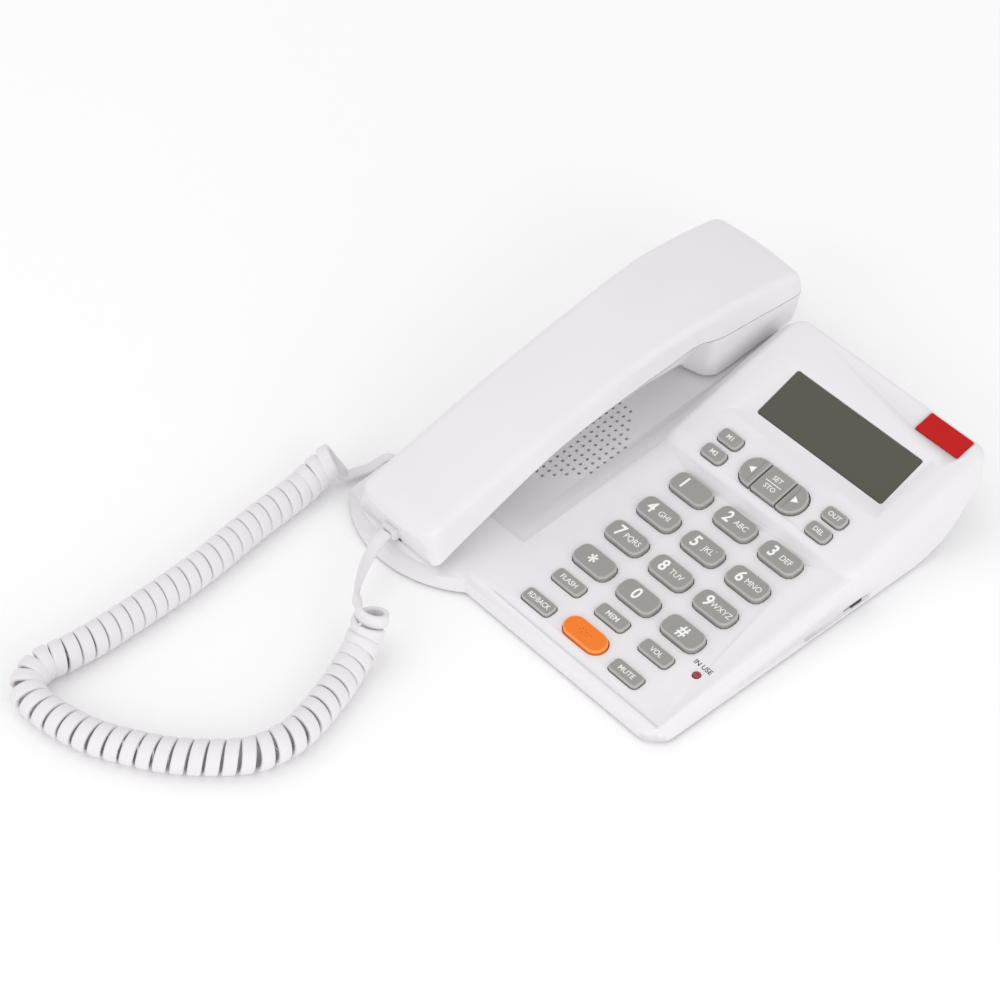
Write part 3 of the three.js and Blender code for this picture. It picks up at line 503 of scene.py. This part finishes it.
def legend(name, text, size, plane, x, y, w, body, ink=INK_WHITE, bold=0.0, across=1.0):
    """Printed characters, a thin raised layer, centred on a place of a panel."""
    data = bpy.data.curves.new(name, "FONT")
    data.body = text
    data.size = size
    data.align_x = "CENTER"
    data.align_y = "CENTER"
    data.extrude = PRINT_THICK
    data.offset = bold
    data.resolution_u = 3
    source = bpy.data.objects.new(name + "_source", data)
    bpy.context.scene.collection.objects.link(source)
    graph = bpy.context.evaluated_depsgraph_get()
    mesh = bpy.data.meshes.new_from_object(source.evaluated_get(graph))
    bpy.data.objects.remove(source)
    points = [Vector((v.co.x * across, v.co.y, v.co.z)) for v in mesh.vertices]
    faces = [tuple(p.vertices) for p in mesh.polygons]
    bpy.data.meshes.remove(mesh)
    return piece(name, points, faces, body, ink, plane @ Matrix.Translation((x, y, w)), smooth=0)


def printed_shape(name, ring, plane, x, y, w, body, ink=INK_WHITE):
    """A printed mark from a flat outline, as thin as the characters."""
    points, faces = prism(ring, 0, PRINT_THICK)
    piece(name, points, faces, body, ink, plane @ Matrix.Translation((x, y, w)), smooth=0)


def outline(w, h, r):
    return lambda grow: rounded_outline(w + grow, h + grow, max(0.2, r + grow / 2), 5)


DIAL_COLUMNS = (-24.9, -0.9, 23.1)
DIAL_ROWS = (26.3, 9.15, -7.55, -24.25)
DIAL = [
    [("1", "", "1"), ("2", "ABC", "2"), ("3", "DEF", "3")],
    [("4", "GHI", "4"), ("5", "JKL", "5"), ("6", "MNO", "6")],
    [("7", "PQRS", "7"), ("8", "TUV", "8"), ("9", "WXYZ", "9")],
    [("*", "", "star"), ("0", "", "0"), ("#", "", "hash")],
]


def make_pip(x, y, w):
    """The small raised dot that marks the middle key by touch."""
    rings = []
    for i in range(5):
        a = math.radians(18 * i)
        across, high = 0.5 * math.cos(a), 0.4 * math.sin(a)
        rings.append([(across * math.cos(b), across * math.sin(b), high)
                      for b in np.arange(10) * math.pi / 5])
    points, faces = loft(rings)
    # The pip is coloured with the keys' painted highlight grey.
    piece("key_5_pip", points, faces, "key_5_body", KEY_EDGE_PAINTED_HIGHLIGHT,
          IN_KEYPAD @ Matrix.Translation((x, y, w)), smooth=60)


DIGIT_LEFT = {"star": 1.2, "0": 1.2, "hash": 0}  # the other digits make room for their letters


def make_dial():
    top = 2.45
    for r, row in enumerate(DIAL):
        for c, (digit, letters, word) in enumerate(row):
            x, y = DIAL_COLUMNS[c], DIAL_ROWS[r]
            node = "key_" + word
            make_key(node, IN_KEYPAD, x, y, outline(18.6, 9.9, 3.6), top)
            size = 9.5 if digit == "*" else 7.6
            left = x - DIGIT_LEFT.get(word, 3.9)
            drop = -1.6 if digit == "*" else 0
            legend("digit_" + word, digit, size, IN_KEYPAD, left, y + drop, top, node + "_body",
                   bold=0.16, across=0.86)
            if digit == "5":
                make_pip(x + 5.6, y + 2.0, top)
            if letters:
                legend("letters_" + word, letters, 3.7, IN_KEYPAD, x + 2.9, y, top, node + "_body",
                       across=0.92)


FUNCTION = outline(15.0, 6.5, 1.9)
FUNCTION_TOP = 1.5
MEMORY = outline(10.9, 6.4, 2.2)
MEMORY_TOP = 1.8
SPEAKER_X, SPEAKER_TOP = -2.05, 1.9


def make_function_keys():
    for node, text, x, y in [
        ("key_flash", "FLASH", -24.9, -37.45),
        ("key_memory", "MEM", -1.1, -37.45),
        ("key_volume", "VOL", 22.6, -37.5),
        ("key_redial_back", "RD/BACK", -26.0, -51.75),
        ("key_mute", "MUTE", 21.6, -51.65),
    ]:
        make_key(node, IN_KEYPAD, x, y, FUNCTION, FUNCTION_TOP)
        legend("legend_" + node, text, 3.2, IN_KEYPAD, x, y, FUNCTION_TOP, node + "_body",
               across=0.82 if len(text) > 5 else 0.95, bold=0.02)
    make_key("key_speaker", IN_KEYPAD, SPEAKER_X, -50.2, outline(20.7, 9.5, 4.7), SPEAKER_TOP,
             (ORANGE, ORANGE_EDGE_PAINTED_HIGHLIGHT))
    dots = [
        (-3, 0), (-2.2, 1), (-0.8, 0.9), (0.2, 0.4), (1.4, 0.2), (2.6, 0.4), (-1.6, -0.8), (0.9, -0.9),
    ]
    for k, (dx, dy) in enumerate(dots):
        printed_shape(f"speaker_dot_{k + 1}", rounded_outline(0.36, 0.36, 0.15, 2), IN_KEYPAD,
                      SPEAKER_X + dx, -50.0 + dy, SPEAKER_TOP, "key_speaker_body", RED)
    for node, text, x, y in [
        ("key_m1", "M1", -29.4, 13.95),
        ("key_m2", "M2", -29.5, 4.95),
        ("key_out", "OUT", 26.55, 14.0),
        ("key_delete", "DEL", 26.5, 5.25),
    ]:
        make_key(node, IN_CONSOLE, x, y, MEMORY, MEMORY_TOP)
        legend("legend_" + node, text, 2.9, IN_CONSOLE, x, y, MEMORY_TOP, node + "_body", bold=0.02)


def make_nav():
    w, h, block, slit, top, across, y = 32.2, 13.6, 12.7, 0.7, 2.1, -1.2, 9.3
    end = (w - block) / 2 - slit
    shift = (block + slit * 2 + end) / 2

    def left(grow):
        return rounded_outline(end + grow, h + grow, 0.6, 6, h / 2 - 0.2 + grow / 2)

    def right(grow):
        return [(-px, py) for px, py in reversed(left(grow))]

    def middle(grow):
        return rounded_outline(block + grow, h + grow, 0.6, 3)

    for node, x, shape in [
        ("key_left", -shift, left), ("key_set", 0, middle), ("key_right", shift, right),
    ]:
        make_key(node, IN_CONSOLE, across + x, y, shape, top, lip=0)
    arrow = [(-1.5, 0), (1.2, 1.6), (1.2, -1.6)]
    for node, x, flip in [("key_left", -shift, 1), ("key_right", shift, -1)]:
        ring = [(px * flip, py) for px, py in arrow]
        printed_shape("arrow_" + node, ring, IN_CONSOLE, across + x, y, top, node + "_body")
    legend("legend_set", "SET", 3.0, IN_CONSOLE, across, y + 2.3, top, "key_set_body", bold=0.02)
    legend("legend_store", "STO", 3.0, IN_CONSOLE, across, y - 2.3, top, "key_set_body", bold=0.02)
    printed_shape("legend_bar", rounded_outline(8.0, 0.35, 0.1, 1), IN_CONSOLE, across, y, top,
                  "key_set_body")


make_dial()
make_function_keys()
make_nav()
legend("legend_in_use", "IN USE", 3.0, IN_KEYPAD, 38.9, -29.3, 0.02, "base",
       ink=INK_BLACK, bold=0.02)


# ---------------------------------------------------------------- handset
# Stations from mouth end to ear end: y, top, parting line, underside, half width there, bow in
# plan, and how far the top and bottom edges stand in from that half width.
STATIONS = [
    (-93.2, 22.6, 11.4, 9.6, 20.8, 2.5, 3.6, 5.0),
    (-92.5, 24.6, 11.8, 9.3, 22.2, 2.5, 3.9, 6.4),
    (-91.2, 26.2, 12.4, 9.2, 23.1, 2.4, 4.2, 7.8),
    (-89.0, 27.4, 13.6, 9.4, 23.5, 2.2, 4.4, 9.0),
    (-76.0, 30.8, 18.9, 10.4, 23.5, 1.4, 4.4, 9.5),
    (-62.0, 34.2, 24.0, 11.8, 23.5, 0.6, 4.3, 9.5),
    (-54.0, 36.1, 27.0, 16.4, 23.5, 0.2, 4.2, 8.5),
    (-44.0, 38.4, 30.2, 24.0, 23.4, 0, 4.0, 5.5),
    (-30.0, 41.4, 34.0, 29.0, 23.3, 0, 3.6, 4.0),
    (-6.0, 45.8, 37.8, 32.4, 23.2, 0, 3.0, 3.5),
    (14.0, 49.1, 39.8, 34.2, 23.2, 0, 2.6, 3.0),
    (28.0, 50.7, 41.2, 34.4, 23.4, 0, 2.1, 2.5),
    (36.0, 51.3, 42.4, 33.2, 23.6, 0, 1.8, 3.0),
    (40.0, 51.5, 42.8, 29.8, 23.8, 0, 1.7, 6.0),
    (43.5, 51.6, 42.5, 24.0, 23.9, 0, 1.6, 11.0),
    (46.0, 51.7, 41.7, 19.9, 24.0, 0, 1.5, 11.0),
    (49.0, 51.7, 40.8, 19.0, 24.2, 0, 1.4, 3.2),
    (54.0, 51.7, 39.4, 18.9, 24.4, 0, 1.3, 0.2),
    (76.0, 50.2, 37.6, 20.75, 24.4, 0, 1.2, 0.2),
    (90.0, 48.2, 36.4, 22.0, 24.4, -0.4, 1.2, 0.2),
    (95.0, 47.2, 36.0, 22.6, 24.3, -0.8, 1.2, 0.4),
    (97.2, 46.0, 35.9, 25.0, 24.0, -0.9, 1.2, 0.8),
    (99.4, 43.8, 35.8, 29.0, 23.4, -1.0, 1.4, 1.2),
    (100.5, 40.8, 35.6, 32.6, 21.4, -1.0, 1.8, 1.5),
]


def fine_stations():
    """The handset's stations, filled in smoothly between."""
    ys = [s[0] for s in STATIONS]
    table = np.array(STATIONS)
    fine = sorted(set(np.round(np.concatenate([
        np.linspace(a, b, max(2, int((b - a) / 1.6) + 2)) for a, b in zip(ys, ys[1:])
    ]), 4)))
    columns = []
    for c in range(1, table.shape[1]):
        slopes = monotone_slopes(ys, table[:, c])
        columns.append([hermite(ys, table[:, c], slopes, y) for y in fine])
    return list(zip(fine, *columns))


def monotone_slopes(x, v):
    """Slopes of a smooth curve that doesn't overshoot its points."""
    x, v = np.array(x), np.array(v)
    h, d = np.diff(x), np.diff(v) / np.diff(x)
    m = np.zeros(len(x))
    m[0], m[-1] = d[0], d[-1]
    for i in range(1, len(x) - 1):
        if d[i - 1] * d[i] > 0:
            w1, w2 = 2 * h[i] + h[i - 1], h[i] + 2 * h[i - 1]
            m[i] = (w1 + w2) / (w1 / d[i - 1] + w2 / d[i])
    return m


def hermite(x, v, m, q):
    k = min(max(int(np.searchsorted(x, q)) - 1, 0), len(x) - 2)
    h = x[k + 1] - x[k]
    t = (q - x[k]) / h
    return float(
        (2 * t ** 3 - 3 * t ** 2 + 1) * v[k] + (t ** 3 - 2 * t ** 2 + t) * h * m[k]
        + (3 * t ** 2 - 2 * t ** 3) * v[k + 1] + (t ** 3 - t ** 2) * h * m[k + 1]
    )


def corner(p, q, r, steps):
    """Round corner between two directions: from point p towards r by way of q."""
    out = []
    for i in range(steps + 1):
        t = i / steps
        out.append(((1 - t) ** 2 * p[0] + 2 * t * (1 - t) * q[0] + t * t * r[0],
                    (1 - t) ** 2 * p[1] + 2 * t * (1 - t) * q[1] + t * t * r[1]))
    return out


PART_GAP = 0.2  # half of the groove between the two shells


def half_section(station, upper):
    """Right half of a cross-section of one shell, from the parting line to the middle."""
    _, top, seam, under, half, _, slope, sink = station
    if upper:
        start, flat, edge, reach, run = (half, seam + PART_GAP), top, half - slope, 3.2, 3.4
    else:
        start, flat, edge, reach, run = (half, seam - PART_GAP), under, half - sink, 2.4, 3.0
    drop = (start[0] - edge, start[1] - flat)
    length = math.hypot(*drop)
    share = min(reach, 0.45 * length) / length
    bend = (edge + drop[0] * share, flat + drop[1] * share)
    crown = 0.55 if upper else 0.0
    side = [start, *corner(bend, (edge, flat), (edge - run, flat), 8)]
    for t in (0.8, 0.6, 0.4, 0.2):
        side.append(((edge - run) * t, flat + crown * (1 - t * t) ** 2))
    return side


def end_ring(ring, y_step):
    """A smaller copy of an end ring, a little further out, which rounds the end's rim."""
    middle = sum((Vector(p) for p in ring), Vector()) / len(ring)
    return [tuple(middle + (Vector(p) - middle) * 0.95 + Vector((0, y_step, 0))) for p in ring]


def make_shell(name, node, upper):
    rings = []
    for station in fine_stations():
        y, half, bow = station[0], station[4], station[5]
        right = half_section(station, upper)
        outline_points = right + [(-x, z) for x, z in reversed(right)]
        rings.append([(CRADLE_X + x, y - bow * (1 - (x / half) ** 2), z)
                      for x, z in outline_points])
    rings = [end_ring(rings[0], -0.3), *rings, end_ring(rings[-1], 0.3)]
    points, faces = loft(rings)
    if not upper:
        faces = [tuple(reversed(f)) for f in faces]
    return piece(name, points, faces, "handset", HANDSET_WHITE, replaces=(node,), smooth=50)


make_shell("handset_upper_shell", "handset_back_shell", True)
make_shell("handset_lower_shell", "handset_front_shell", False)

# ---------------------------------------------------------------- carried-over CAD pieces
FINISH = {
    "bottom_case": WHITE, "battery_door": WHITE, "hook_plunger": WHITE, "lcd_window": SMOKE,
    "lcd_module": DARK, "label_plate": RED, "in_use_led": LAMP, "keypad_board": BOARD,
    "display_board": BOARD, "keypad_mat": SILICONE, "console_mat": SILICONE, "loudspeaker": DARK,
    "ringer_switch": BLACK, "line_jack": BLACK, "base_jack": BLACK, "handset_jack": BLACK,
    "base_plug": CLEAR, "handset_plug": CLEAR, "earpiece": DARK, "microphone": DARK,
}
for name, node in frame["nodes"].items():
    finish = FINISH.get(name)
    if name.startswith("foot_"):
        finish = RUBBER
    if name.startswith("case_screw_"):
        finish = STEEL
    if finish is None:
        continue
    node.data.materials.clear()
    node.data.materials.append(finish)

# ---------------------------------------------------------------- floor, light, colour
floor_material = plastic("floor", (254, 254, 254), 0.9, grain=0.0, mottle=0.002, specular=0.1)
REACH = 9000
floor = piece("floor", [(-REACH, -REACH, 0), (REACH, -REACH, 0), (REACH, REACH, 0), (-REACH, REACH, 0)],
              [(0, 1, 2, 3)], None, floor_material, smooth=0)


def area_light(name, place, energy, size):
    data = bpy.data.lights.new(name, "AREA")
    data.energy = energy
    data.size = size
    light = bpy.data.objects.new(name, data)
    light.location = place
    light.rotation_euler = (-Vector(place)).to_track_quat("-Z", "Y").to_euler()
    bpy.context.scene.collection.objects.link(light)


area_light("key_light", (-0.8, -0.3, 1.8), 3.5, 1.4)
area_light("front_light", (-0.1, -1.8, 0.7), 4.5, 1.5)
area_light("side_light", (1.8, -0.5, 0.7), 10, 1.5)
world = bpy.data.worlds.new("studio")
world.use_nodes = True
world.node_tree.nodes["Background"].inputs["Color"].default_value = (1, 1, 1, 1)
world.node_tree.nodes["Background"].inputs["Strength"].default_value = 0.82
bpy.context.scene.world = world
bpy.context.scene.view_settings.view_transform = "Standard"
